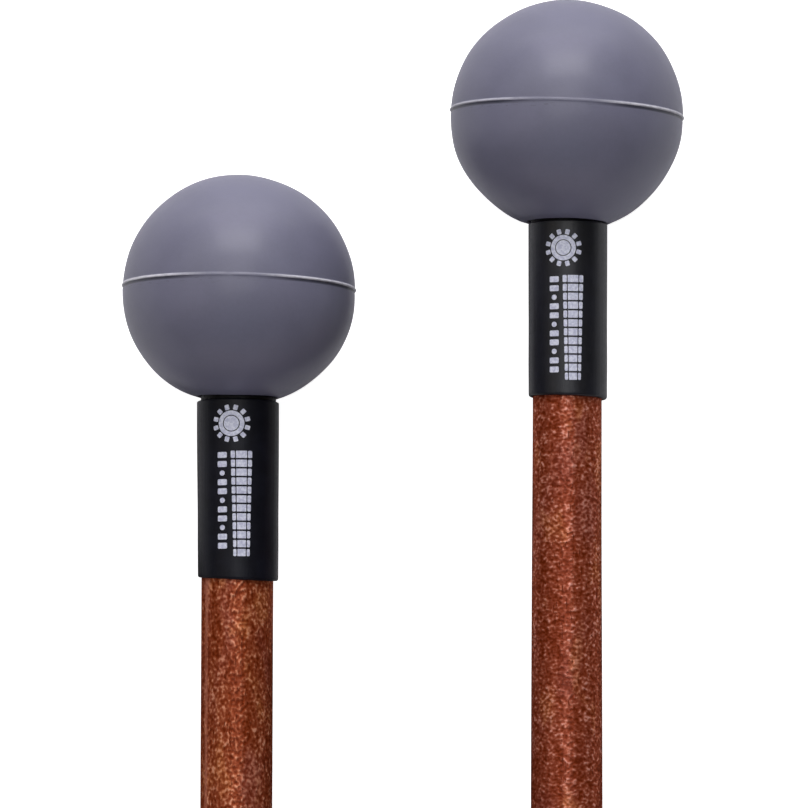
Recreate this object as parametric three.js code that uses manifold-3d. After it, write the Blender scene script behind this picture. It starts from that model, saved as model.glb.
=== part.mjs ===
// A matched pair of keyboard-percussion mallets lying side by side on a table.
//
// Each mallet is a moulded rubber ball bonded to the end of a stained hardwood dowel, with a black
// shrink sleeve over the dowel just under the ball. Millimetres, +Z up. The mallets lie along +Y with
// their heads at +Y: the ball's parting line and the lower edge of the dowel's butt end touch z = 0, so
// every dowel slopes down by just under two degrees from head to butt. The origin is the middle of the
// pair's bounding box, at the table.

import * as THREE from "three";
import { mergeVertices } from "three/addons/utils/BufferGeometryUtils.js";
import Module from "manifold-3d";

// ---- Driving dimensions -------------------------------------------------------------------------

const BALL_R = 31.75 / 2; // 1-1/4 in ball
const FLASH_OUT = 0.2; // how far the mould's parting line stands out of the ball
const FLASH_BASE = 0.45; // its width where it leaves the ball
const FLASH_CREST = 0.14; // its width at the crest

const DOWEL_R = 4.8; // 3/8 in dowel with its stain and lacquer
const DOWEL_LENGTH = 355.6; // 14 in
const OVERALL = 368.3; // tip of the ball to the butt end, 14-1/2 in
const DOWEL_TIP_CHAMFER = 0.8;
const BUTT_ROUND = 1.6; // radius of the butt end's rounded edge

const SOCKET_R = 5.15; // blind hole drilled in the ball
const BOND_R_IN = 4.9; // the adhesive film between dowel and ball
const BOND_R_OUT = 5.05;
const BOND_END = 0.4; // its thickness over the dowel's upper end
const BOND_GAP = 0.1; // clearance kept all round the film
const BOND_MOUTH = -15.1; // where the film stops, just proud of the mouth of the hole

const SLEEVE_R_IN = 4.88; // shrunk tube round the dowel
const SLEEVE_R_OUT = 5.45;
const SLEEVE_LIP = 0.28; // rounding of the tube's cut ends

const PITCH_X = 44.9; // between the two dowels' centre lines
const STAGGER_Y = 24.45; // the right-hand mallet lies this much further forward

// What differs between the two, from assembly by hand. The parting line: degrees out of square, down
// towards +X, and millimetres from the ball's centre towards the tip. The sleeve's two cut ends:
// millimetres from the ball's centre, and degrees out of square, down towards +X and +Z.
const LEFT = {
  name: "left",
  parting: { tilt: 1.2, rise: 0.65 },
  cuts: { top: { y: -15.36, x: 0.8, z: 0 }, bottom: { y: -39.55, x: 2.5, z: 4.3 } },
};
const RIGHT = {
  name: "right",
  parting: { tilt: 2.2, rise: 0.35 },
  cuts: { top: { y: -15.3, x: 0.5, z: 0 }, bottom: { y: -38.95, x: 1.9, z: 0.6 } },
};

const BALL_SIDES = 40;
const ROD_SIDES = 36;

const BUTT = BALL_R - OVERALL; // the dowel's two ends, from the ball's centre
const DOWEL_TIP = BUTT + DOWEL_LENGTH;

// ---- Finishes -----------------------------------------------------------------------------------

const rubber = new THREE.MeshStandardMaterial({ color: 0x6d6c78, roughness: 0.55, metalness: 0 });
const shrinkTube = new THREE.MeshStandardMaterial({ color: 0x17171b, roughness: 0.45, metalness: 0 });
const stainedWood = new THREE.MeshStandardMaterial({ color: 0x8c4527, roughness: 0.4, metalness: 0 });
const adhesive = new THREE.MeshStandardMaterial({ color: 0xcabf9a, roughness: 0.3, metalness: 0 });

// ---- Helpers ------------------------------------------------------------------------------------

const wasm = await Module();
wasm.setup();

const deg = THREE.MathUtils.degToRad;
const v2 = (x, y) => new THREE.Vector2(x, y);

// A solid of revolution about +Y. Its flats lie on the true radius, and one of them is turned to the
// table, so that a mallet rests on flats and not on corners.
function lathe(points, sides) {
  const corner = 1 / Math.cos(Math.PI / sides);
  const profile = points.map((p) => v2(p.x * corner, p.y));
  return new THREE.LatheGeometry(profile, sides, Math.PI / sides, Math.PI * 2);
}

function toSolid(geometry) {
  const g = geometry.clone();
  g.deleteAttribute("normal");
  g.deleteAttribute("uv");
  const m = mergeVertices(g, 1e-4);
  return new wasm.Manifold(
    new wasm.Mesh({
      numProp: 3,
      vertProperties: new Float32Array(m.attributes.position.array),
      triVerts: new Uint32Array(m.index.array),
    }),
  );
}

function toGeometry(solid) {
  const m = solid.getMesh();
  const g = new THREE.BufferGeometry();
  g.setAttribute("position", new THREE.BufferAttribute(new Float32Array(m.vertProperties), 3));
  g.setIndex(new THREE.BufferAttribute(new Uint32Array(m.triVerts), 1));
  g.computeVertexNormals();
  return g;
}

// Points of a circular arc in the profile plane, ends included. Angles are in degrees from +x.
function arc(cx, cy, r, from, to, steps) {
  const points = [];
  for (let i = 0; i <= steps; i++) {
    const a = deg(from + ((to - from) * i) / steps);
    points.push(v2(cx + r * Math.cos(a), cy + r * Math.sin(a)));
  }
  return points;
}

function mesh(name, geometry, material) {
  const m = new THREE.Mesh(geometry, material);
  m.name = name;
  return m;
}

// ---- The pieces, each about its mallet's own +Y axis with the ball's centre at 0 -----------------

// The moulded ball: a sphere with the thin raised line where the two halves of the mould met, and a
// blind hole for the dowel. The hole isn't quite on the mould's axis, so the line lies a degree or two
// out of square to it.
function ballHead({ name, parting }) {
  const latitude = (y) => (Math.asin(y / BALL_R) * 180) / Math.PI;
  const profile = [
    ...arc(0, 0, BALL_R, -90, latitude(parting.rise - FLASH_BASE / 2), 10),
    v2(BALL_R + FLASH_OUT, parting.rise - FLASH_CREST / 2),
    v2(BALL_R + FLASH_OUT, parting.rise + FLASH_CREST / 2),
    ...arc(0, 0, BALL_R, latitude(parting.rise + FLASH_BASE / 2), 90, 10),
  ];
  profile[0].x = 0;
  profile[profile.length - 1].x = 0;
  const ball = lathe(profile, BALL_SIDES).rotateZ(-deg(parting.tilt));
  const end = DOWEL_TIP + BOND_END + 2 * BOND_GAP;
  const hole = lathe([v2(0, -BALL_R - 4), v2(SOCKET_R, -BALL_R - 4), v2(SOCKET_R, end), v2(0, end)], ROD_SIDES);
  return mesh(`${name}_ball_head`, toGeometry(toSolid(ball).subtract(toSolid(hole))), rubber);
}

// The hardwood dowel: chamfered where it enters the ball, its butt end sanded to a soft edge round a
// flat face.
function dowel({ name }) {
  const profile = [
    v2(0, BUTT),
    ...arc(DOWEL_R - BUTT_ROUND, BUTT + BUTT_ROUND, BUTT_ROUND, -90, 0, 5),
    v2(DOWEL_R, DOWEL_TIP - DOWEL_TIP_CHAMFER),
    v2(DOWEL_R - DOWEL_TIP_CHAMFER, DOWEL_TIP),
    v2(0, DOWEL_TIP),
  ];
  return mesh(`${name}_handle`, lathe(profile, ROD_SIDES), stainedWood);
}

// The adhesive: a thin cup round the dowel's end, closed over its tip and open at the hole's mouth.
function bond({ name }) {
  const inside = DOWEL_TIP + BOND_GAP;
  const profile = [
    v2(BOND_R_IN, BOND_MOUTH),
    v2(BOND_R_OUT, BOND_MOUTH),
    v2(BOND_R_OUT, inside + BOND_END),
    v2(0, inside + BOND_END),
    v2(0, inside),
    v2(BOND_R_IN, inside),
    v2(BOND_R_IN, BOND_MOUTH),
  ];
  return mesh(`${name}_glue_bond`, lathe(profile, ROD_SIDES), adhesive);
}

// The shrink sleeve: a thin tube with rounded lips, its two ends cut by hand and so a little out of
// square.
function sleeve({ name, cuts }) {
  const { top, bottom } = cuts;
  const profile = [
    v2(SLEEVE_R_IN, bottom.y),
    ...arc(SLEEVE_R_OUT - SLEEVE_LIP, bottom.y + SLEEVE_LIP, SLEEVE_LIP, -90, 0, 3),
    ...arc(SLEEVE_R_OUT - SLEEVE_LIP, top.y - SLEEVE_LIP, SLEEVE_LIP, 0, 90, 3),
    v2(SLEEVE_R_IN, top.y),
    v2(SLEEVE_R_IN, bottom.y),
  ];
  const geometry = lathe(profile, ROD_SIDES);
  const p = geometry.attributes.position;
  for (let i = 0; i < p.count; i++) {
    const t = (p.getY(i) - bottom.y) / (top.y - bottom.y);
    const tiltX = THREE.MathUtils.lerp(Math.tan(deg(bottom.x)), Math.tan(deg(top.x)), t);
    const tiltZ = THREE.MathUtils.lerp(Math.tan(deg(bottom.z)), Math.tan(deg(top.z)), t);
    p.setY(i, p.getY(i) - p.getX(i) * tiltX - p.getZ(i) * tiltZ);
  }
  return mesh(`${name}_shrink_sleeve`, geometry, shrinkTube);
}

// ---- Laying the mallets down --------------------------------------------------------------------

// The slope at which the parting line and the butt's rounded edge both touch the table.
function restSlope() {
  const crest = BALL_R + FLASH_OUT;
  const reach = -BUTT - BUTT_ROUND;
  const high = (a) => crest * Math.cos(a) - reach * Math.sin(a) - (DOWEL_R - BUTT_ROUND) * Math.cos(a) - BUTT_ROUND;
  let lo = 0;
  let hi = 0.1;
  for (let i = 0; i < 60; i++) {
    const mid = (lo + hi) / 2;
    if (high(mid) > 0) lo = mid;
    else hi = mid;
  }
  return lo;
}

const SLOPE = restSlope();
const CENTRE_Z = (BALL_R + FLASH_OUT) * Math.cos(SLOPE);
// The pair's furthest point in +Y is the right-hand ball's tip, and in -Y the left-hand butt's upper edge.
const FRONT = STAGGER_Y / 2 + BALL_R;
const BACK = -STAGGER_Y / 2 + BUTT * Math.cos(SLOPE) - (DOWEL_R - BUTT_ROUND) * Math.sin(SLOPE);
const MIDDLE_Y = (FRONT + BACK) / 2;

function mallet(kind, side) {
  const group = new THREE.Group();
  group.name = `${kind.name}_mallet`;
  group.add(ballHead(kind), bond(kind), sleeve(kind), dowel(kind));
  group.position.set((side * PITCH_X) / 2, (side * STAGGER_Y) / 2 - MIDDLE_Y, CENTRE_Z);
  group.rotation.x = SLOPE;
  return group;
}

const pair = new THREE.Group();
pair.name = "mallet_pair";
pair.add(mallet(LEFT, -1), mallet(RIGHT, 1));

export default pair;
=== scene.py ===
import bpy
import bmesh
import math
import numpy as np
from mathutils import Matrix, Vector


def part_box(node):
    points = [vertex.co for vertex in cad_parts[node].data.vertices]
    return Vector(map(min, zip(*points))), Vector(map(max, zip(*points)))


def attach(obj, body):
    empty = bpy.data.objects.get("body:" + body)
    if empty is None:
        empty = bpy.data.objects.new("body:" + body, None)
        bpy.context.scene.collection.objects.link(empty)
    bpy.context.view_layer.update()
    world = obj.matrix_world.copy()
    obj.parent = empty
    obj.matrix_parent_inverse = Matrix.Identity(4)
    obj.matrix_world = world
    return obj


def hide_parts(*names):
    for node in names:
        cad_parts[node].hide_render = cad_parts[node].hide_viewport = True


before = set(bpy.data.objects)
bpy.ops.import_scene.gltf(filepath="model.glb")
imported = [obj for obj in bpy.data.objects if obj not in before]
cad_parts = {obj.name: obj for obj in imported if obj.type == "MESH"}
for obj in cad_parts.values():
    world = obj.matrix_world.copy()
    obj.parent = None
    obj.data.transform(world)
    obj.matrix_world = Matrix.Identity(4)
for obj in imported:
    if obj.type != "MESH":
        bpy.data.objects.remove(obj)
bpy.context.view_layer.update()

# ---------------------------------------------------------------------------------------------------
# A matched pair of ball mallets. Lengths below are millimetres in each mallet's own frame: the ball's
# centre at 0, +Y along the handle towards the ball's tip, +X to the right, +Z away from the table.
# ---------------------------------------------------------------------------------------------------
BALL_R = 31.75 / 2
FLASH = 0.2
OVERALL = 368.3
DOWEL_LENGTH = 355.6
BUTT = BALL_R - OVERALL
TIP = BUTT + DOWEL_LENGTH
BUTT_ROUND = 1.6
SOCKET_R = 5.15
SLOPE = math.radians(1.8406338)


def ball_centre(side):
    lo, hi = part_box(side + "_ball_head")
    return Vector(((lo.x + hi.x) / 2, hi.y - BALL_R / 1000, (BALL_R + FLASH) / 1000 * math.cos(SLOPE)))


class Mallet:
    def __init__(self, side):
        self.side = side
        self.body = "mallet_" + side
        self.centre = ball_centre(side)
        self.place = Matrix.Translation(self.centre) @ Matrix.Rotation(SLOPE, 4, "X") @ Matrix.Scale(0.001, 4)


LEFT, RIGHT = Mallet("left"), Mallet("right")


def smooth(a, b, x):
    t = np.clip((np.asarray(x, float) - a) / (b - a), 0, 1)
    return t * t * (3 - 2 * t)


def ripple(phase, seed, terms=((1, 1.0), (2, 0.8), (3, 0.6), (5, 0.5), (8, 0.35), (13, 0.25))):
    """A smooth periodic wobble of about unit size along an angle, the same on every run."""
    rng = np.random.RandomState(seed)
    out = np.zeros_like(phase, dtype=float)
    for n, a in terms:
        out += a * np.sin(n * phase + rng.uniform(0, 2 * math.pi))
    return out / sum(a for _, a in terms)


def bump(x, centre, width):
    return np.exp(-(((x - centre) / width) ** 2))


def angle_from(phi, at):
    return (phi - at + math.pi) % (2 * math.pi) - math.pi


# ---------------------------------------------------------------------------------------------------
# Mesh building
# ---------------------------------------------------------------------------------------------------
def make_object(name, mallet, verts, faces, material, uv=None):
    mesh = bpy.data.meshes.new(name)
    mesh.from_pydata([tuple(v) for v in verts], [], faces)
    mesh.validate()
    mesh.transform(mallet.place)
    mesh.polygons.foreach_set("use_smooth", [True] * len(mesh.polygons))
    obj = bpy.data.objects.new(name, mesh)
    bpy.context.scene.collection.objects.link(obj)
    mesh.materials.append(material)
    if uv is not None:
        layer = mesh.uv_layers.new(name="OFBake")
        layer.data.foreach_set("uv", np.asarray(uv, np.float32).ravel())
    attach(obj, mallet.body)
    return obj


def grid_solid(name, mallet, rings, material, closed=False, caps=(None, None)):
    """Rings of points (rings x columns x 3) joined into one closed skin. closed joins the last ring to the
    first, for a tube; caps gives the middle point of the first and last ring, where the skin ends."""
    rings = np.asarray(rings, float)
    n, m, _ = rings.shape
    verts = [tuple(p) for p in rings.reshape(-1, 3)]
    faces = []
    last = n if closed else n - 1
    for i in range(last):
        a, b = i * m, ((i + 1) % n) * m
        for j in range(m):
            k = (j + 1) % m
            faces.append((a + j, a + k, b + k, b + j))
    if caps[0] is not None:
        c = len(verts)
        verts.append(tuple(caps[0]))
        faces += [(c, (j + 1) % m, j) for j in range(m)]
    if caps[1] is not None:
        c = len(verts)
        verts.append(tuple(caps[1]))
        base = (n - 1) * m
        faces += [(c, base + j, base + (j + 1) % m) for j in range(m)]
    obj = make_object(name, mallet, verts, faces, material)
    face_out(obj)
    return obj


def face_out(obj):
    bm = bmesh.new()
    bm.from_mesh(obj.data)
    bmesh.ops.recalc_face_normals(bm, faces=bm.faces)
    bm.to_mesh(obj.data)
    bm.free()


def columns(m):
    return np.arange(m) * (2 * math.pi / m)


def ring(r, y, phi):
    """Points round the mallet's axis. phi runs from +X towards +Z."""
    r = np.broadcast_to(r, phi.shape)
    y = np.broadcast_to(y, phi.shape)
    return np.stack([r * np.cos(phi), y, r * np.sin(phi)], -1)


# ---------------------------------------------------------------------------------------------------
# Ball: a moulded sphere with the two mould halves' flash line, slightly flattened round the drilled hole
# ---------------------------------------------------------------------------------------------------
# the parting plane: how it falls towards +X and rises towards +Z, as slopes, and where it crosses the axis
PARTING = {"left": (0.0195, 0.0105, 0.375), "right": (0.0375, -0.0065, 0.145)}


# how far each ball is out of round towards -X and +X: hundredths of a millimetre at these angles from the handle
OUT_AT = (0, 20, 23, 26, 30, 34, 42, 48, 54, 60, 66, 72, 78, 84, 90, 96, 102, 108, 114, 120, 126, 132, 138, 144, 150, 156, 162, 168, 180)
OUT_OF_ROUND = {
    "left": ((-30, -32, -23, -12, -7, -3, 4, 3, 1, 3, 6, 3, 1, -2, -5, -6, -7, -4, -1, -4, -4, -3, -5, -4, 0, 2, 6, 5, 4),
             (-13, -12, -6, -3, 0, 2, 5, 13, 22, 26, 26, 27, 22, 14, 10, 12, 15, 13, 10, 12, 15, 13, 9, 7, 5, 0, -4, -2, 4)),
    "right": ((-8, -8, 3, 5, 1, -4, -7, -3, 3, 12, 18, 21, 11, 5, 1, 1, 3, 1, 2, 6, 5, 3, -1, -7, -9, -8, -5, -6, -4),
              (17, 17, 12, 15, 18, 17, 10, 7, 8, 7, 11, 17, 17, 12, 11, 11, 12, 8, 7, 10, 14, 12, 8, 9, 5, -4, -6, -5, -4)),
}


def out_of_round(side, lat, phi):
    th = np.degrees(np.arccos(np.clip(-np.sin(lat) / 0.9874, -1, 1)))
    low, high = (np.asarray(t, float) for t in OUT_OF_ROUND[side])
    out = 0
    for table, share in ((low, np.clip(-np.cos(phi), 0, 1) ** 1.5), (high, np.clip(np.cos(phi), 0, 1) ** 1.5)):
        # the table, run through a window a few degrees wide
        soft = sum(w * np.interp(th + o, OUT_AT, table) for o, w in ((-5, 0.15), (-2.5, 0.22), (0, 0.26), (2.5, 0.22), (5, 0.15)))
        edge = smooth(27, 20, th)
        out = out + share * ((1 - edge) * soft + edge * np.interp(th, OUT_AT, table)) / 100
    return out


def ball(mallet, material):
    fall, lift, rise = PARTING[mallet.side]
    seed = 11 if mallet.side == "left" else 29
    phi = columns(336)
    # latitude at which the parting plane meets the ball, for each column
    lean = fall * np.cos(phi) - lift * np.sin(phi)
    parting = np.arcsin(rise / BALL_R / np.hypot(1, lean)) - np.arctan(lean)
    # the flash is thicker towards the sides, and was trimmed unevenly
    sides = smooth(0.22, 0.75, np.abs(np.cos(phi)))
    height = 0.068 + 0.075 * sides + 0.018 * ripple(phi, seed) + 0.016 * ripple(phi, seed + 1, ((21, 1), (34, 0.8), (55, 0.6)))
    nicks = {"left": ((2.62, 0.03), (2.25, 0.02), (1.62, 0.025), (0.9, 0.03), (-0.8, 0.05), (-2.2, 0.04)),
             "right": ((2.95, 0.025), (2.05, 0.03), (1.2, 0.02), (0.42, 0.03), (-1.1, 0.04), (-2.6, 0.05))}[mallet.side]
    for at, width in nicks:
        height *= 1 - 0.65 * bump(angle_from(phi, at), 0, width)
    above = 0.205 - 0.02 * sides + 0.015 * ripple(phi, seed + 2)
    below = 0.24 - 0.115 * sides + 0.012 * ripple(phi, seed + 4)
    # the two halves of the mould didn't meet exactly: the lower half stands back a little on one side
    mismatch = 0.035 * np.cos(phi) + 0.012 * ripple(phi, seed + 3)

    near = np.concatenate([np.linspace(-0.62, -0.34, 5)[:-1], np.linspace(-0.34, 0.34, 25), np.linspace(0.34, 0.62, 5)[1:]])
    rows = []
    hole = -math.acos(5.62 / BALL_R)
    for t in np.linspace(1, 0, 84)[:-1]:  # from the hole's rim up to the flash
        rows.append(("low", t))
    for d in near:
        rows.append(("near", d))
    for t in np.linspace(0, 1, 92)[1:-1]:  # from the flash up to the tip
        rows.append(("high", t))
    rings = []
    edge = near[-1] / BALL_R
    for kind, t in rows:
        if kind == "low":
            lat = (parting - edge) * (1 - t) + hole * t
        elif kind == "high":
            lat = (parting + edge) * (1 - t) + (math.pi / 2) * t
        else:
            lat = parting + t / BALL_R
        d = (lat - parting) * BALL_R
        crest = np.where(d > 0, np.exp(-np.abs(d / above) ** 2.2), np.exp(-np.abs(d / below) ** 2.6))
        groove = -0.05 * sides * bump(d, -0.33, 0.15)
        step = -np.clip(mismatch, -0.02, 0.05) * smooth(0.05, -0.1, d) * smooth(-2.6, -0.4, d)
        flat = out_of_round(mallet.side, lat, phi)
        r = BALL_R + height * crest + groove + step + flat
        rings.append(np.stack([r * np.cos(lat) * np.cos(phi), r * np.sin(lat), r * np.cos(lat) * np.sin(phi)], -1))
    # the rim of the hole, rounded, then the hole's wall and its flat end
    rim_y = rings[0][:, 1]
    rim_r = np.hypot(rings[0][:, 0], rings[0][:, 2])
    inner = []
    for k in range(1, 7):
        s = k / 6
        inner.append(ring(rim_r - (rim_r - SOCKET_R) * math.sin(s * math.pi / 2), rim_y + 0.06 * math.sin(s * math.pi) - 0.0 + 0.32 * (1 - math.cos(s * math.pi / 2)), phi))
    for y in np.linspace(-13.8, TIP + 0.6, 12):
        inner.append(shifted(mallet.side, ring(SOCKET_R, y, phi)))
    for r in (3.4, 1.7):
        inner.append(shifted(mallet.side, ring(r, TIP + 0.6, phi)))
    rings = inner[::-1] + rings
    obj = grid_solid(mallet.side + "_head_rubber", mallet, rings, material, caps=((0, TIP + 0.6, 0), (0, BALL_R, 0)))
    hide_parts(mallet.side + "_ball_head")
    return obj


# ---------------------------------------------------------------------------------------------------
# Handle: a turned dowel, very slightly out of true, its butt end sanded round a flat face
# ---------------------------------------------------------------------------------------------------
def dowel_radius(side, y):
    y = np.asarray(y, float)
    if side == "left":
        r = 4.905 + 0.012 * np.sin(y / 41.0 + 0.6) - 0.05 * smooth(-30, 0, y)
    else:
        r = 4.725 + 0.150 * smooth(-38, -96, y) + 0.01 * np.sin(y / 37.0)
    t = smooth(-150, BUTT + 12, y)  # down to the plain dowel at the butt, which rests on the table
    return r * (1 - t) + 4.795 * t


def drift(side, y):
    """How far to +X of the ball's centre the dowel's own axis lies: the hole isn't drilled quite central."""
    y = np.asarray(y, float)
    if side == "left":
        return 0.058 + 0.0 * y
    return 0.055 + 0.050 * smooth(-62, -38, y)


def shifted(side, points):
    points = np.array(points, float)
    points[..., 0] += drift(side, points[..., 1])
    return points


def handle(mallet, material):
    side = mallet.side
    phi = columns(144)
    seed = 5 if side == "left" else 17
    c = BUTT_ROUND
    profile = []
    r0 = float(dowel_radius(side, BUTT + c))
    for r in np.linspace(0.35, r0 - c, 6):
        profile.append((r, BUTT))
    for k in range(1, 11):
        a = -math.pi / 2 + k / 10 * math.pi / 2
        profile.append((r0 - c + c * math.cos(a), BUTT + c + c * math.sin(a)))
    ys = np.concatenate([np.arange(BUTT + c + 1.2, -112, 1.2), np.arange(-112, -12, 0.5), np.arange(-12, TIP - 0.8, 1.6)])
    for y in ys:
        profile.append((float(dowel_radius(side, y)), y))
    tip_r = float(dowel_radius(side, TIP))
    for r, y in ((tip_r, TIP - 0.8), (tip_r - 0.35, TIP - 0.35), (tip_r - 0.8, TIP), (2.4, TIP), (0.9, TIP)):
        profile.append((r, y))
    rings = []
    for r, y in profile:
        # turning marks and raised grain, a few hundredths of a millimetre
        wob = 0.006 * ripple(phi + y * 0.004, seed, ((2, 1), (3, 0.7), (7, 0.5), (12, 0.5), (23, 0.5), (31, 0.4))) if y > BUTT + c and y < TIP - 1 else 0.0
        rings.append(shifted(side, ring(r + wob, y, phi)))
    ends = (shifted(side, (0, BUTT, 0)), shifted(side, (0, TIP, 0)))
    obj = grid_solid(side + "_handle_wood", mallet, rings, material, caps=ends)
    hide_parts(side + "_handle")
    return obj


# ---------------------------------------------------------------------------------------------------
# Sleeve: thin shrunk tube with hand-cut ends
# ---------------------------------------------------------------------------------------------------
CUTS = {
    # y at the axis, then how many degrees the cut falls towards +X and +Z
    "left": {"top": (-15.31, 0.8, 0.3), "bottom": (-39.55, 2.5, 4.2)},
    "right": {"top": (-15.07, 0.4, 0.2), "bottom": (-38.98, 1.9, 0.5)},
}


def sleeve_radius(side, y, phi):
    seed = 41 if side == "left" else 53
    if side == "left":
        r = 5.495 + 0.10 * smooth(-38, -17, y)
    else:
        r = 5.375 + 0.02 * smooth(-38, -17, y)
    # where the tube gripped last it stands off by a few hundredths
    r = r + 0.012 * ripple(np.asarray(phi) + 0.0, seed, ((1, 1), (2, 0.8), (3, 0.6))) * (1 + 0.6 * np.sin(y / 3.1 + seed))
    r = r + 0.010 * np.sin(y / 2.3 + 2 * np.sin(y / 6.0) + seed)
    return r


def sleeve_drift(side, y):
    """The tube's wall is thicker on one side, so its outside lies further to +X than the dowel."""
    y = np.asarray(y, float)
    if side == "left":
        return 0.020 + 0.125 * smooth(-13, -41, y)
    return 0.185 + 0.0 * y


def sleeve_outside(side, y, phi, r=None):
    r = sleeve_radius(side, y, phi) if r is None else r
    points = ring(r, y, phi)
    points[..., 0] += sleeve_drift(side, points[..., 1])
    return points


def sleeve_end(side, end, r, phi):
    y, fall_x, fall_z = CUTS[side][end]
    seed = {"left": 61, "right": 71}[side] + (0 if end == "top" else 3)
    cut = y - r * np.cos(phi) * math.tan(math.radians(fall_x)) - r * np.sin(phi) * math.tan(math.radians(fall_z))
    return cut + 0.035 * ripple(phi, seed, ((2, 1), (3, 0.8), (5, 0.6), (9, 0.5), (14, 0.3)))


def sleeve(mallet, material):
    side = mallet.side
    phi = columns(144)
    low, high = 0.30, 0.17  # rounding of the two cut edges
    inner_r = 4.955 if side == "left" else 4.80
    yb0 = sleeve_end(side, "bottom", 5.2, phi)
    yt0 = sleeve_end(side, "top", 5.2, phi)
    rb = sleeve_radius(side, CUTS[side]["bottom"][0], phi)
    rt = sleeve_radius(side, CUTS[side]["top"][0], phi)
    inside = lambda r, y: shifted(side, ring(r, y, phi))
    rings = [inside(inner_r, yb0 + 0.06), inside(inner_r + 0.05, yb0)]
    for k in range(0, 7):
        a = k / 6 * math.pi / 2
        rings.append(sleeve_outside(side, yb0 + (low * 1.15) * (1 - math.cos(a)), phi, rb - low + low * np.sin(a)))
    for t in np.linspace(0, 1, 82)[1:-1]:
        rings.append(sleeve_outside(side, (yb0 + low * 1.15) * (1 - t) + (yt0 - high) * t, phi))
    for k in range(6, -1, -1):
        a = k / 6 * math.pi / 2
        rings.append(sleeve_outside(side, yt0 - high * (1 - math.cos(a)), phi, rt - high + high * np.sin(a)))
    rings += [inside(inner_r + 0.05, yt0), inside(inner_r, yt0 - 0.06)]
    for t in np.linspace(1, 0, 14)[1:-1]:
        rings.append(inside(inner_r, (yb0 + 0.06) * (1 - t) + (yt0 - 0.06) * t))
    obj = grid_solid(side + "_sleeve_tube", mallet, rings, material, closed=True)
    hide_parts(side + "_shrink_sleeve")
    return obj


# ---------------------------------------------------------------------------------------------------
# Glue: the cup of adhesive in the ball's hole, with the bead that squeezed out at its mouth
# ---------------------------------------------------------------------------------------------------
def glue(mallet, material):
    side = mallet.side
    phi = columns(96)
    r_in = float(np.max(dowel_radius(side, np.linspace(-16, TIP, 40)))) + 0.02
    bead = 5.08 if side == "left" else 4.99
    end = sleeve_end(side, "top", 5.0, phi) + 0.03
    wob = 0.03 * ripple(phi, 83 if side == "left" else 97, ((2, 1), (3, 0.8), (5, 0.7), (7, 0.6), (11, 0.4)))
    prof = [(r_in, end + 0.02), (r_in + 0.04, end), (bead - 0.03, end), (bead, end + 0.05)]
    lean = 0.10 if side == "left" else 0.02  # the bead is fuller on one side
    rings = [ring(r, y, phi) for r, y in prof[:2]]
    rings += [ring(r + wob + lean * (1 + np.cos(phi)) / 2, y, phi) for r, y in prof[2:]]
    mouth = np.maximum(end + 0.12, -14.98)
    rings.append(ring(bead + wob + lean * (1 + np.cos(phi)) / 2, mouth, phi))
    rings.append(ring(min(bead, SOCKET_R - 0.05) + wob * 0.5, -14.72, phi))
    rings.append(ring(SOCKET_R - 0.05, -14.5, phi))
    for y in np.linspace(-13.9, TIP + 0.1, 10):
        rings.append(ring(SOCKET_R - 0.03, y, phi))
    for r in (SOCKET_R - 0.2, 3.0, 1.2):
        rings.append(ring(r, TIP + 0.5, phi))
    outside = [shifted(side, r) for r in rings]
    inside = [shifted(side, ring(r, TIP + 0.06, phi)) for r in (1.2, 3.0, r_in - 0.05)]
    inside += [shifted(side, ring(r_in, y, phi)) for y in np.linspace(TIP, -14.6, 10)]
    # one skin: up the outside to its middle point, and back down the inside
    m = len(phi)
    verts, faces = [], []

    def add(rs):
        start = len(verts)
        for r in rs:
            verts.extend(tuple(p) for p in r)
        return start

    a = add(outside)
    for i in range(len(outside) - 1):
        for j in range(m):
            k = (j + 1) % m
            faces.append((a + i * m + j, a + i * m + k, a + (i + 1) * m + k, a + (i + 1) * m + j))
    top = len(verts)
    verts.append(tuple(shifted(side, (0, TIP + 0.5, 0))))
    base = a + (len(outside) - 1) * m
    faces += [(top, base + j, base + (j + 1) % m) for j in range(m)]
    b = add(inside)
    under = len(verts)
    verts.append(tuple(shifted(side, (0, TIP + 0.06, 0))))
    faces += [(under, b + (j + 1) % m, b + j) for j in range(m)]
    for i in range(len(inside) - 1):
        for j in range(m):
            k = (j + 1) % m
            faces.append((b + i * m + j, b + i * m + k, b + (i + 1) * m + k, b + (i + 1) * m + j))
    tail = b + (len(inside) - 1) * m
    faces += [(tail + j, tail + (j + 1) % m, a + (j + 1) % m, a + j) for j in range(m)]
    obj = make_object(side + "_glue_bead", mallet, verts, faces, material)
    face_out(obj)
    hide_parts(side + "_glue_bond")
    return obj


# ---------------------------------------------------------------------------------------------------
# Print: a generic mark in raised ink. A drum seen from above, over a set of graduated bars and a row of studs.
# ---------------------------------------------------------------------------------------------------
def rounded(u0, v0, u1, v1, r, n=4):
    pts = []
    for cu, cv, a0 in ((u1 - r, v1 - r, 0), (u0 + r, v1 - r, 90), (u0 + r, v0 + r, 180), (u1 - r, v0 + r, 270)):
        for k in range(n + 1):
            a = math.radians(a0 + 90 * k / n)
            pts.append((cu + r * math.cos(a), cv + r * math.sin(a)))
    return pts


def disc(cu, cv, r, n=40):
    return [(cu + r * math.cos(2 * math.pi * k / n), cv + r * math.sin(2 * math.pi * k / n)) for k in range(n)]


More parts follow.
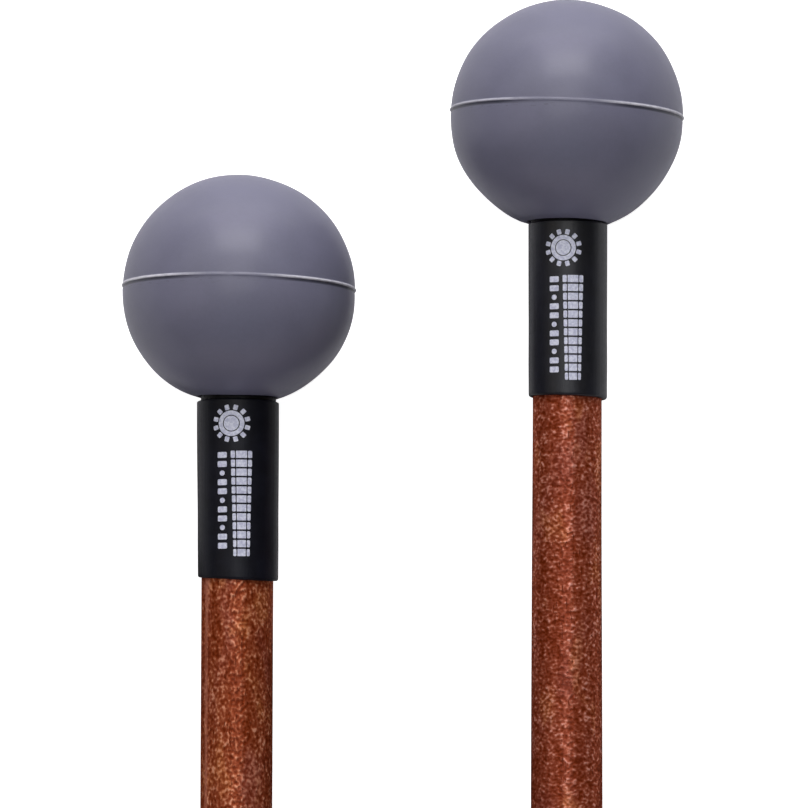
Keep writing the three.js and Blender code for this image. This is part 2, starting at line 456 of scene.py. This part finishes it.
def print_shapes():
    """Outlines in millimetres: u to the right of the mark's own centre line, v downwards from its top."""
    solid, rings = [], []
    # a small drum seen from above: its head, and the lugs all round it
    cu, cv = -0.35, 2.95
    solid.append(disc(cu, cv, 1.02))
    rings.append((cu, cv, 1.14, 1.74))
    for k in range(12):
        a = math.radians(30 * k + 15)
        turn = lambda u, v: (cu + u * math.cos(a) - v * math.sin(a), cv + u * math.sin(a) + v * math.cos(a))
        solid.append([turn(u, v) for u, v in rounded(1.88, -0.30, 2.58, 0.30, 0.12, 3)])
    # a set of graduated bars, each crossed by its two cords
    v, pitch, gap = 6.70, 1.215, 0.24
    for k in range(12):
        half = 1.44 - 0.030 * k
        a, b = v + k * pitch, v + (k + 1) * pitch - gap
        mid = 1.01
        cord = 0.56 * half
        r = 0.14
        solid.append(rounded(mid - half, a, mid - cord - 0.065, b, r, 2))
        solid.append(rounded(mid - cord + 0.065, a, mid + cord - 0.065, b, 0.03, 1))
        solid.append(rounded(mid + cord + 0.065, a, mid + half, b, r, 2))
    # a row of small studs beside it
    mid, v = -1.62, 7.25
    for k in range(11):
        if k % 3 == 2:
            solid.append(disc(mid, v, 0.36, 20))
        else:
            solid.append(rounded(mid - 0.66, v - 0.40, mid + 0.66, v + 0.40, 0.16, 3))
        v += 1.235
    return solid, rings


def print_mark(mallet, material):
    side = mallet.side
    centre_u = {"left": -0.42, "right": -0.42}[side]
    top_y = {"left": -15.75, "right": -15.95}[side]
    solid, rings = print_shapes()
    bm = bmesh.new()
    for pts in solid:
        bm.faces.new([bm.verts.new((u, v, 0)) for u, v in pts])
    for cu, cv, r0, r1 in rings:
        n = 72
        inner = [bm.verts.new((cu + r0 * math.cos(2 * math.pi * k / n), cv + r0 * math.sin(2 * math.pi * k / n), 0)) for k in range(n)]
        outer = [bm.verts.new((cu + r1 * math.cos(2 * math.pi * k / n), cv + r1 * math.sin(2 * math.pi * k / n), 0)) for k in range(n)]
        for k in range(n):
            q = (k + 1) % n
            bm.faces.new((inner[k], inner[q], outer[q], outer[k]))
    for u in np.arange(-2.8, 2.8, 0.28):
        bmesh.ops.bisect_plane(bm, geom=bm.verts[:] + bm.edges[:] + bm.faces[:], plane_co=(u, 0, 0), plane_no=(1, 0, 0), dist=1e-5)
    for v in np.arange(0.3, 21, 0.5):
        bmesh.ops.bisect_plane(bm, geom=bm.verts[:] + bm.edges[:] + bm.faces[:], plane_co=(0, v, 0), plane_no=(0, 1, 0), dist=1e-5)
    out = bmesh.ops.extrude_face_region(bm, geom=bm.faces[:])
    for g in out["geom"]:
        if isinstance(g, bmesh.types.BMVert):
            g.co.z = -1.0
    for v in bm.verts:
        y = top_y - v.co.y
        u = v.co.x + centre_u
        phi0 = math.pi / 2 - u / 5.45
        r = float(sleeve_radius(side, y, phi0)) + (0.028 if v.co.z > -0.5 else -0.03)
        v.co = Vector((r * math.cos(phi0) + float(sleeve_drift(side, y)), y, r * math.sin(phi0)))
    bmesh.ops.recalc_face_normals(bm, faces=bm.faces)
    mesh = bpy.data.meshes.new(side + "_print")
    bm.to_mesh(mesh)
    bm.free()
    mesh.transform(mallet.place)
    mesh.materials.append(material)
    obj = bpy.data.objects.new(side + "_print", mesh)
    bpy.context.scene.collection.objects.link(obj)
    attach(obj, mallet.body)
    return obj


# ---------------------------------------------------------------------------------------------------
# Materials
# ---------------------------------------------------------------------------------------------------
class Nodes:
    def __init__(self, name):
        self.mat = bpy.data.materials.new(name)
        self.mat.use_nodes = True
        self.t = self.mat.node_tree
        self.t.nodes.clear()
        self.out = self.t.nodes.new("ShaderNodeOutputMaterial")
        self.bsdf = self.t.nodes.new("ShaderNodeBsdfPrincipled")
        self.t.links.new(self.bsdf.outputs[0], self.out.inputs[0])

    def new(self, kind, **props):
        n = self.t.nodes.new(kind)
        for k, v in props.items():
            setattr(n, k, v)
        return n

    def link(self, a, b):
        self.t.links.new(a, b)

    def put(self, socket, value):
        if isinstance(value, bpy.types.NodeSocket):
            self.link(value, socket)
        else:
            socket.default_value = value

    def local(self, mallet, scale=(1, 1, 1), offset=(0, 0, 0)):
        """Millimetres in the mallet's own frame, then scaled."""
        tc = self.new("ShaderNodeTexCoord")
        m = self.new("ShaderNodeMapping", vector_type="TEXTURE")
        m.inputs["Location"].default_value = mallet.centre
        m.inputs["Rotation"].default_value = (SLOPE, 0, 0)
        m.inputs["Scale"].default_value = (0.001, 0.001, 0.001)
        self.link(tc.outputs["Object"], m.inputs["Vector"])
        return self.scaled(m.outputs[0], scale, offset)

    def scaled(self, v, scale, offset=(0, 0, 0)):
        if tuple(scale) == (1, 1, 1) and tuple(offset) == (0, 0, 0):
            return v
        s = self.new("ShaderNodeMapping", vector_type="POINT")
        s.inputs["Scale"].default_value = scale
        s.inputs["Location"].default_value = offset
        self.link(v, s.inputs["Vector"])
        return s.outputs[0]

    def noise(self, v, scale=1.0, detail=2.0, rough=0.5, distortion=0.0):
        n = self.new("ShaderNodeTexNoise")
        self.link(v, n.inputs["Vector"])
        n.inputs["Scale"].default_value = scale
        n.inputs["Detail"].default_value = detail
        n.inputs["Roughness"].default_value = rough
        n.inputs["Distortion"].default_value = distortion
        return n.outputs["Fac"]

    def voronoi(self, v, scale=1.0, feature="F1", randomness=1.0, output="Distance"):
        n = self.new("ShaderNodeTexVoronoi", feature=feature)
        self.link(v, n.inputs["Vector"])
        n.inputs["Scale"].default_value = scale
        n.inputs["Randomness"].default_value = randomness
        return n.outputs[output]

    def math(self, op, a, b=0.0, c=None, clamp=False):
        n = self.new("ShaderNodeMath", operation=op, use_clamp=clamp)
        self.put(n.inputs[0], a)
        self.put(n.inputs[1], b)
        if c is not None:
            self.put(n.inputs[2], c)
        return n.outputs[0]

    def fit(self, v, a, b, lo=0.0, hi=1.0, smooth_step=True):
        n = self.new("ShaderNodeMapRange", interpolation_type="SMOOTHSTEP" if smooth_step else "LINEAR")
        self.put(n.inputs["Value"], v)
        n.inputs["From Min"].default_value = a
        n.inputs["From Max"].default_value = b
        n.inputs["To Min"].default_value = lo
        n.inputs["To Max"].default_value = hi
        return n.outputs["Result"]

    def mix(self, fac, a, b, blend="MIX"):
        n = self.new("ShaderNodeMix", data_type="RGBA", blend_type=blend)
        self.put(n.inputs[0], fac)
        self.put(n.inputs[6], a if isinstance(a, bpy.types.NodeSocket) else (*a, 1))
        self.put(n.inputs[7], b if isinstance(b, bpy.types.NodeSocket) else (*b, 1))
        return n.outputs[2]

    def ramp(self, v, stops):
        n = self.new("ShaderNodeValToRGB")
        el = n.color_ramp.elements
        el[0].position, el[1].position = stops[0][0], stops[-1][0]
        for at, _ in stops[1:-1]:
            el.new(at)
        for e, (_, colour) in zip(el, stops):
            e.color = (*colour, 1)
        self.link(v, n.inputs["Fac"])
        return n.outputs["Color"]

    def xyz(self, v):
        n = self.new("ShaderNodeSeparateXYZ")
        self.link(v, n.inputs[0])
        return n.outputs

    def bump(self, height, strength, distance, normal=None):
        n = self.new("ShaderNodeBump")
        n.inputs["Strength"].default_value = strength
        n.inputs["Distance"].default_value = distance
        self.link(height, n.inputs["Height"])
        if normal is not None:
            self.link(normal, n.inputs["Normal"])
        return n.outputs[0]


RUBBER = (0.168, 0.166, 0.232)


def rubber_material(mallet):
    m = Nodes(mallet.side + "_moulded_rubber")
    p = m.local(mallet)
    fall, lift, rise = PARTING[mallet.side]
    x, y, z = m.xyz(p)
    # distance from the parting plane, in millimetres
    d = m.math("ADD", m.math("SUBTRACT", y, rise), m.math("SUBTRACT", m.math("MULTIPLY", x, fall), m.math("MULTIPLY", z, lift)))
    cloud = m.noise(p, 0.09, 3, 0.55)
    fine = m.noise(p, 1.6, 4, 0.6)
    grain = m.noise(p, 7.0, 2, 0.5)
    base = m.mix(m.fit(cloud, 0.35, 0.65), tuple(c * 0.95 for c in RUBBER), tuple(c * 1.05 for c in RUBBER))
    base = m.mix(m.fit(fine, 0.3, 0.75, 0.0, 0.10), base, tuple(c * 1.35 for c in RUBBER))
    # the flash is rubbed lighter, more so at the sides, and its crest also carries a painted highlight where light
    # catches it
    sides = m.fit(m.math("ABSOLUTE", m.math("ADD", x, 0.6)), 2.6, 9.5, 0.12, 1.0)
    wear = m.fit(m.noise(p, 0.9, 2, 0.6), 0.25, 0.6, 0.65, 1.0)
    crest = m.math("SUBTRACT", 1.0, m.fit(m.math("ABSOLUTE", m.math("SUBTRACT", d, 0.06)), 0.10, 0.25))
    whitened_and_highlit_crest = m.math("MULTIPLY", m.math("MULTIPLY", crest, sides), wear)
    strength = m.fit(x, -3.0, 10.0, 0.84 if mallet.side == "left" else 0.50, 0.90)
    base = m.mix(m.math("MULTIPLY", whitened_and_highlit_crest, strength), base, (0.68, 0.67, 0.72))
    # painted shadow: a dark line just under the flash, strongest at the sides, where the flash shades the rubber below
    # it
    under = m.math("MULTIPLY", m.fit(d, -0.62, -0.42), m.fit(d, -0.10, -0.20))
    base = m.mix(m.math("MULTIPLY", under, m.math("MULTIPLY", sides, 0.80)), base, (0.020, 0.020, 0.034))
    # faint scuffs and nicks in a band under the flash, most of them to the left
    sv = m.scaled(p, (0.55, 3.4, 0.55), (3.1, 0, 1.7))
    scuff = m.math("MULTIPLY", m.fit(m.noise(sv, 1.4, 3, 0.7), 0.57, 0.67), m.math("MULTIPLY", m.fit(d, -1.5, -0.5), m.fit(d, -0.2, -0.4)))
    scuff = m.math("MULTIPLY", scuff, m.fit(x, 6.0, -4.0, 0.35, 1.0))
    base = m.mix(m.math("MULTIPLY", scuff, 0.50), base, (0.075, 0.074, 0.10))
    m.link(base, m.bsdf.inputs["Base Color"])
    rough = m.fit(fine, 0.25, 0.75, 0.46, 0.54)
    rough = m.math("ADD", rough, m.math("MULTIPLY", whitened_and_highlit_crest, 0.10))
    m.link(rough, m.bsdf.inputs["Roughness"])
    m.bsdf.inputs["IOR"].default_value = 1.5
    m.bsdf.inputs["Specular IOR Level"].default_value = 0.40
    m.bsdf.inputs["Coat Weight"].default_value = 0.26
    m.bsdf.inputs["Coat Roughness"].default_value = 0.24
    m.link(m.bump(m.math("ADD", grain, m.math("MULTIPLY", fine, 1.6)), 0.10, 0.00006), m.bsdf.inputs["Normal"])
    return m.mat


def wood_material(mallet):
    m = Nodes(mallet.side + "_stained_hardwood")
    seed = 0.0 if mallet.side == "left" else 37.0
    here = m.local(mallet)
    p = m.scaled(here, (1, 1, 1), (seed, 0.001, seed * 0.7))
    centred = lambda v, gain: m.math("MULTIPLY", m.math("SUBTRACT", v, 0.5), gain)
    # the stain took unevenly: chaotic flecks under a millimetre, gathered in patches along the grain
    across, along = (1.5, 1.15) if mallet.side == "left" else (1.25, 1.55)
    chaos = m.noise(m.scaled(p, (across, along, across)), 1.0, 1.4, 0.60, 0.20)
    across, along = (2.5, 2.1) if mallet.side == "left" else (2.1, 2.6)
    speck = m.noise(m.scaled(p, (across, along, across), (5, 9, 2)), 1.0, 0.5, 0.5, 0.10)
    cluster = m.noise(m.scaled(p, (0.30, 0.13, 0.30), (2, 3, 1)), 1.0, 2, 0.5, 0.3)
    streak = m.noise(m.scaled(p, (0.80, 0.035, 0.80)), 1.0, 2, 0.5, 0.3)
    v = m.math("ADD", centred(chaos, 0.95), centred(speck, 1.15))
    v = m.math("ADD", v, m.math("ADD", centred(cluster, 0.5), centred(streak, 0.35)))
    v = m.math("ADD", v, 0.5)
    rosy = 1.0 if mallet.side == "left" else 1.27
    base = m.ramp(v, (
        (0.16, (0.160, 0.020, 0.0027 * rosy)),
        (0.36, (0.244, 0.042, 0.0115 * rosy)),
        (0.50, (0.290, 0.058, 0.022 * rosy)),
        (0.63, (0.380, 0.095, 0.039 * rosy)),
        (0.76, (0.580, 0.195, 0.100 * rosy)),
        (0.90, (0.750, 0.325, 0.200 * rosy)),
    ))
    # where the stain is older it has gone towards plum
    plum = m.fit(m.noise(m.scaled(p, (0.22, 0.075, 0.22), (31, 5, 13)), 1.0, 1.5, 0.5, 0.2), 0.46, 0.62, 0, 0.42)
    base = m.mix(plum, base, m.mix(m.fit(v, 0.3, 0.75), (0.215, 0.042, 0.026), (0.490, 0.168, 0.126)))
    warm = m.fit(cluster, 0.54, 0.70, 0, 0.22)
    base = m.mix(warm, base, m.mix(m.fit(v, 0.3, 0.75), (0.275, 0.066, 0.013), (0.76, 0.275, 0.065)))
    # dark pores, short dashes along the grain
    pore = m.fit(m.noise(m.scaled(p, (3.4, 0.75, 3.4), (11, 4, 7)), 1.0, 2, 0.6, 0.5), 0.60, 0.68, 0, 0.85)
    base = m.mix(pore, base, (0.135, 0.017, 0.0025))
    x, y, z = m.xyz(here)
    if mallet.side == "left":
        # a painted highlight: a lighter pink line down one side of the left stick, near its edge, where light catches
        # it
        line = m.math("SUBTRACT", 1.0, m.fit(m.math("ABSOLUTE", m.math("ADD", x, 4.05)), 0.08, 0.30))
        line = m.math("MULTIPLY", line, m.math("MULTIPLY", m.fit(z, 0.5, 1.5), m.fit(cluster, 0.3, 0.6, 0.25, 0.6)))
        base = m.mix(line, base, (0.57, 0.20, 0.125))
    # end grain at the butt: darker, with the growth rings showing as arcs
    end = m.fit(y, BUTT + 0.5, BUTT + 0.1)
    arcs = m.new("ShaderNodeTexWave", wave_type="RINGS", rings_direction="Y")
    m.link(m.scaled(here, (1, 1, 1), (9.0, 0, -14.0)), arcs.inputs["Vector"])
    arcs.inputs["Scale"].default_value = 0.34
    arcs.inputs["Distortion"].default_value = 1.6
    arcs.inputs["Detail"].default_value = 2
    endc = m.mix(m.fit(arcs.outputs["Fac"], 0.3, 0.8), (0.100, 0.020, 0.007), (0.200, 0.048, 0.018))
    endc = m.mix(m.fit(m.voronoi(m.scaled(here, (1, 0.2, 1)), 3.2), 0.10, 0.22, 0.8, 0.0), endc, (0.03, 0.005, 0.002))
    base = m.mix(end, base, endc)
    # black from just under the sleeve's top edge up into the ball
    base = m.mix(m.fit(y, -16.6, -16.1), base, (0.002, 0.002, 0.002))
    m.link(base, m.bsdf.inputs["Base Color"])
    m.link(m.fit(chaos, 0.35, 0.7, 0.33, 0.25), m.bsdf.inputs["Roughness"])
    # most of the gloss is light caught by the wood's own fibres, which comes back in the stain's colour at every
    # angle; over it lies a very thin lacquer
    m.bsdf.inputs["Metallic"].default_value = 0.30
    m.bsdf.inputs["Specular IOR Level"].default_value = 0.0
    m.bsdf.inputs["Specular Tint"].default_value = (1.0, 0.50, 0.35, 1)
    m.bsdf.inputs["Coat Weight"].default_value = 0.10
    m.bsdf.inputs["Coat Roughness"].default_value = 0.22
    m.link(m.bump(m.math("SUBTRACT", v, m.math("MULTIPLY", pore, 0.3)), 0.60, 0.00011), m.bsdf.inputs["Normal"])
    return m.mat


def sleeve_material(mallet):
    m = Nodes(mallet.side + "_shrink_tube")
    p = m.local(mallet)
    cloud = m.noise(p, 0.35, 3, 0.55)
    fine = m.noise(m.scaled(p, (1.0, 0.5, 1.0)), 5.0, 3, 0.6)
    lines = m.noise(m.scaled(p, (2.6, 0.08, 2.6)), 1.0, 2, 0.5)
    base = m.mix(m.fit(cloud, 0.35, 0.65), (0.0036, 0.0038, 0.0075), (0.0058, 0.0062, 0.0115))
    base = m.mix(m.fit(fine, 0.55, 0.8, 0, 0.35), base, (0.014, 0.014, 0.017))
    m.link(base, m.bsdf.inputs["Base Color"])
    m.link(m.fit(fine, 0.3, 0.7, 0.36, 0.46), m.bsdf.inputs["Roughness"])
    m.bsdf.inputs["IOR"].default_value = 1.48
    m.bsdf.inputs["Specular IOR Level"].default_value = 0.22 if mallet.side == "left" else 0.52
    m.link(m.bump(m.math("ADD", lines, m.math("MULTIPLY", fine, 0.5)), 0.25, 0.00008), m.bsdf.inputs["Normal"])
    return m.mat


def glue_material(mallet):
    m = Nodes(mallet.side + "_cured_glue")
    p = m.local(mallet)
    n = m.noise(p, 2.2, 3, 0.6)
    m.link(m.mix(m.fit(n, 0.3, 0.7), (0.0015, 0.0015, 0.002), (0.004, 0.004, 0.005)), m.bsdf.inputs["Base Color"])
    m.link(m.fit(n, 0.3, 0.7, 0.40, 0.55), m.bsdf.inputs["Roughness"])
    m.bsdf.inputs["Specular IOR Level"].default_value = 0.16
    m.link(m.bump(n, 0.5, 0.0002), m.bsdf.inputs["Normal"])
    return m.mat


def ink_material(mallet):
    m = Nodes(mallet.side + "_printed_ink")
    p = m.local(mallet)
    mottle = m.noise(p, 2.6, 3, 0.65)
    thin = m.noise(p, 9.0, 2, 0.5)
    base = m.mix(m.fit(mottle, 0.35, 0.65), (0.50, 0.51, 0.66), (0.74, 0.75, 0.86))
    base = m.mix(m.fit(thin, 0.62, 0.75, 0, 0.55), base, (0.26, 0.27, 0.36))
    m.link(base, m.bsdf.inputs["Base Color"])
    m.link(m.fit(mottle, 0.3, 0.7, 0.45, 0.6), m.bsdf.inputs["Roughness"])
    m.link(m.bump(mottle, 0.2, 0.00005), m.bsdf.inputs["Normal"])
    return m.mat


# ---------------------------------------------------------------------------------------------------
# Pieces
# ---------------------------------------------------------------------------------------------------
for mallet in (LEFT, RIGHT):
    ball(mallet, rubber_material(mallet))
    handle(mallet, wood_material(mallet))
    sleeve(mallet, sleeve_material(mallet))
    glue(mallet, glue_material(mallet))
    print_mark(mallet, ink_material(mallet))

# ---------------------------------------------------------------------------------------------------
# Floor, light and camera
# ---------------------------------------------------------------------------------------------------
scene = bpy.context.scene
scene.view_settings.view_transform = "Standard"
scene.view_settings.look = "None"
scene.view_settings.exposure = 0.0
scene.view_settings.gamma = 1.0

floor_mesh = bpy.data.meshes.new("floor")
S = 6.0
floor_mesh.from_pydata([(-S, -S, 0), (S, -S, 0), (S, S, 0), (-S, S, 0)], [], [(0, 1, 2, 3)])
floor = bpy.data.objects.new("floor", floor_mesh)
scene.collection.objects.link(floor)
floor.location.z = -0.00005
fm = Nodes("studio_floor")
fm.bsdf.inputs["Base Color"].default_value = (0.84, 0.84, 0.84, 1)
fm.bsdf.inputs["Roughness"].default_value = 0.9
fm.bsdf.inputs["Specular IOR Level"].default_value = 0.1
fm.bsdf.inputs["Emission Color"].default_value = (1, 1, 1, 1)
lp = fm.new("ShaderNodeLightPath")
seen = lp.outputs["Is Camera Ray"]
fx, fy, fz = fm.xyz(fm.new("ShaderNodeNewGeometry").outputs["Position"])
away = fm.math("SQRT", fm.math("ADD", fm.math("MULTIPLY", fx, fx), fm.math("MULTIPLY", fy, fy)))
fm.link(fm.math("MULTIPLY", seen, fm.fit(away, 0.30, 0.75, 0.90, 1.02)), fm.bsdf.inputs["Emission Strength"])
# painted shade on the table in strips beside the two sticks, seen only in reflections and bounced light and not by the
# camera, which keeps the table's glare off their edges: how far each reaches to -X and to +X, beside the sleeve and
# beside the wood
painted_floor_shade = None
for stick, painted_shade_strips in (
    (LEFT, ((0.012, 0.001, -0.012, -0.043), (0.050, 0.001, -0.030, -0.043), (0.045, 0.032, -0.043, -0.400))),
    (RIGHT, ((0.010, 0.001, -0.010, -0.043), (0.013, 0.018, -0.043, -0.400))),
):
    for left_reach, right_reach, y0, y1 in painted_shade_strips:
        off = fm.math("SUBTRACT", fx, stick.centre.x)
        strip = fm.math("MULTIPLY", fm.fit(off, -left_reach - 0.006, -left_reach), fm.fit(off, right_reach + 0.006, right_reach))
        strip = fm.math("MULTIPLY", strip, fm.fit(fy, stick.centre.y + y0, stick.centre.y + y0 - 0.008))
        strip = fm.math("MULTIPLY", strip, fm.fit(fy, stick.centre.y + y1 - 0.008, stick.centre.y + y1))
        painted_floor_shade = strip if painted_floor_shade is None else fm.math("MAXIMUM", painted_floor_shade, strip)
painted_floor_shade = fm.math("MULTIPLY", painted_floor_shade, fm.math("SUBTRACT", 1.0, seen))
fm.link(fm.mix(painted_floor_shade, (0.84, 0.84, 0.84), (0.10, 0.10, 0.10)), fm.bsdf.inputs["Base Color"])
floor_mesh.materials.append(fm.mat)

world = bpy.data.worlds.new("studio")
scene.world = world
world.use_nodes = True
wt = world.node_tree
wt.nodes.clear()
wo = wt.nodes.new("ShaderNodeOutputWorld")
bg_seen = wt.nodes.new("ShaderNodeBackground")
bg_seen.inputs[0].default_value = (1, 1, 1, 1)
bg_seen.inputs[1].default_value = 1.0
bg_lit = wt.nodes.new("ShaderNodeBackground")
bg_lit.inputs[0].default_value = (0.97, 0.98, 1.0, 1)
bg_lit.inputs[1].default_value = 0.03
wl = wt.nodes.new("ShaderNodeLightPath")
wm = wt.nodes.new("ShaderNodeMixShader")
wt.links.new(wl.outputs["Is Camera Ray"], wm.inputs[0])
wt.links.new(bg_lit.outputs[0], wm.inputs[1])
wt.links.new(bg_seen.outputs[0], wm.inputs[2])
wt.links.new(wm.outputs[0], wo.inputs[0])

CENTRE = Vector((0, 0.165, 0.016))


def softbox(name, toward, distance, width, height, radiance, colour=(1, 1, 1)):
    """A soft rectangular light of that radiance, in that direction from the two balls, facing them."""
    data = bpy.data.lights.new(name, "AREA")
    data.shape = "RECTANGLE"
    data.size, data.size_y = width, height
    data.energy = radiance * math.pi * width * height
    data.color = colour
    obj = bpy.data.objects.new(name, data)
    toward = Vector(toward).normalized()
    obj.location = CENTRE + toward * distance
    obj.rotation_mode = "QUATERNION"
    obj.rotation_quaternion = toward.to_track_quat("Z", "Y")
    obj.visible_camera = False
    scene.collection.objects.link(obj)
    return obj


def panel(name, az0, az1, el0, el1, radiance):
    """A softbox filling that part of the surroundings, in degrees: az from +Y towards +X, el above the table."""
    az, el = math.radians((az0 + az1) / 2), math.radians((el0 + el1) / 2)
    reach = 1.2
    width = 2 * reach * math.tan(math.radians((az1 - az0) / 2)) * math.cos(el)
    height = 2 * reach * math.tan(math.radians((el1 - el0) / 2))
    strength = max(radiance)
    toward = (math.sin(az) * math.cos(el), math.cos(az) * math.cos(el), math.sin(el))
    return softbox(name, toward, reach, width, height, strength, tuple(c / strength for c in radiance))


panel("key_upper", -26, 26, 34, 59, (5.39, 5.32, 5.58))
panel("key_lower", -26, 26, 10, 34, (2.46, 2.34, 2.80))
panel("key_core", 3, 19, 38, 48, (1.25, 1.25, 1.15))
panel("horizon", -40, 40, 0.5, 9, (2.75, 2.83, 2.80))
panel("left_ahead", -75, -28, 24, 56, (0.70, 0.74, 0.60))
panel("right_ahead", 28, 75, 24, 56, (0.06, 0.12, 0.05))
panel("left_side", -125, -78, 26, 60, (0.52, 0.45, 0.43))
panel("right_side", 78, 125, 26, 60, (0.12, 0.08, 0.05))
panel("behind_low", 145, 215, 1, 26, (0.83, 0.75, 0.84))
panel("behind_high", 150, 210, 28, 66, (0.05, 0.12, 0.16))
softbox("overhead", (-0.04, 0.105, 0.99), 1.2, 0.82, 0.69, 1.85, (1.0, 1.0, 1.0))

# camera: nearly overhead, from the butt side
cam_data = bpy.data.cameras.new("camera")
cam = bpy.data.objects.new("camera", cam_data)
scene.collection.objects.link(cam)
F_PX, DIST, ELEV, ROLL = 7326.18, 1.0, math.radians(82.696), math.radians(0.151)
cam_data.sensor_width = 36.0
cam_data.lens = F_PX * 36.0 / 808.0
cam_data.clip_start, cam_data.clip_end = 0.05, 50.0
mid = (LEFT.centre + RIGHT.centre) / 2
target = Vector((mid.x - 0.0003, mid.y - 0.027771, 0.0160667))
back = Vector((0, -math.cos(ELEV), math.sin(ELEV)))
right0 = Vector((1, 0, 0))
up0 = back.cross(right0)
right = right0 * math.cos(ROLL) + up0 * math.sin(ROLL)
up = -right0 * math.sin(ROLL) + up0 * math.cos(ROLL)
rot = Matrix((right, up, back)).transposed().to_4x4()
cam.matrix_world = Matrix.Translation(target + back * DIST) @ rot
scene.camera = cam
